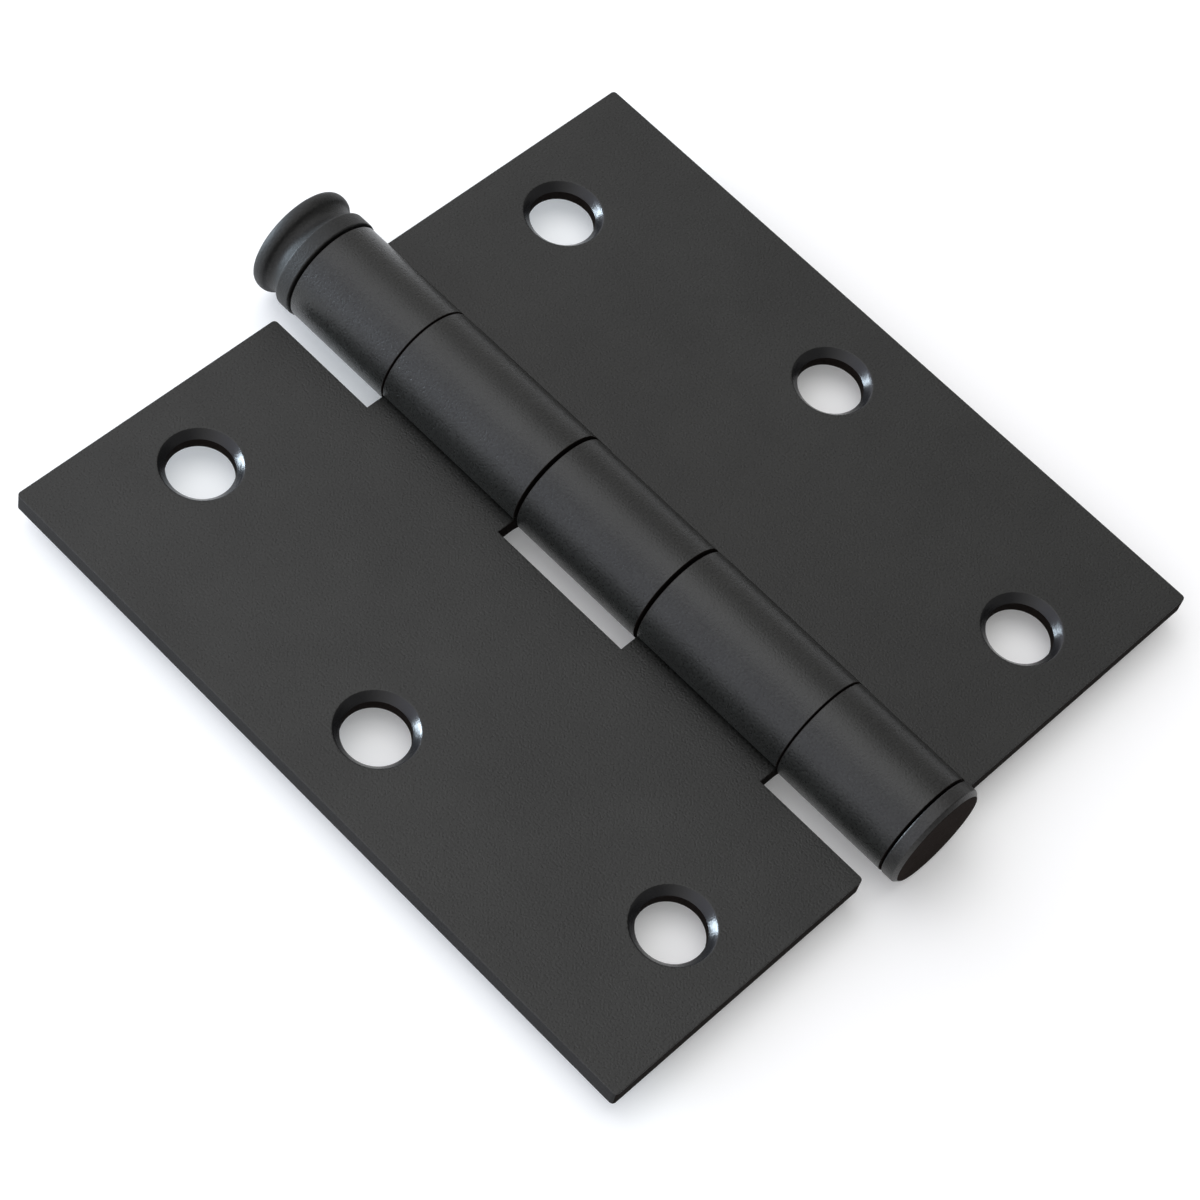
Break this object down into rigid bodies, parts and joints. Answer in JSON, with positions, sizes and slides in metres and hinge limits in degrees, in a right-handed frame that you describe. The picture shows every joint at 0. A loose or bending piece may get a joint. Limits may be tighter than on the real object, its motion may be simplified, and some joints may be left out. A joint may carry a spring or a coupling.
{
  "type": "butt hinge",
  "caption": "Square-cornered loose-pin butt hinge with interlocking knuckles, a button-headed pin, a bottom plug and staggered countersunk screw holes, laid open flat.",
  "frame": {"origin": "under the middle of the hinge's box, on the surface it lies on when open flat", "axes": "+Y along the pin toward its button head, +X toward the three-knuckle leaf, +Z out of the countersunk faces"},
  "size_m": [0.0888, 0.0972, 0.0134],
  "materials": {
    "leaf_finish": "satin black baked enamel on rolled steel sheet",
    "pin_finish": "satin black enamel on turned steel",
    "plug_finish": "satin black enamel on turned steel"
  },
  "bodies": {
    "three_knuckle_leaf": {"three_knuckle_leaf": "leaf_finish", "bottom_plug": "plug_finish"},
    "two_knuckle_leaf": {"two_knuckle_leaf": "leaf_finish"},
    "pin": {"hinge_pin": "pin_finish"}
  },
  "joints": [
    {"name": "leaf_swing", "type": "hinge", "parent": "three_knuckle_leaf", "child": "two_knuckle_leaf", "pos_m": [0, 0, 0.0067], "axis": [0, 1, 0], "range_deg": [-128, 184]},
    {"name": "pin_lift", "type": "slide", "parent": "three_knuckle_leaf", "child": "pin", "axis": [0, 1, 0], "range_m": [0, 0.09]}
  ]
}
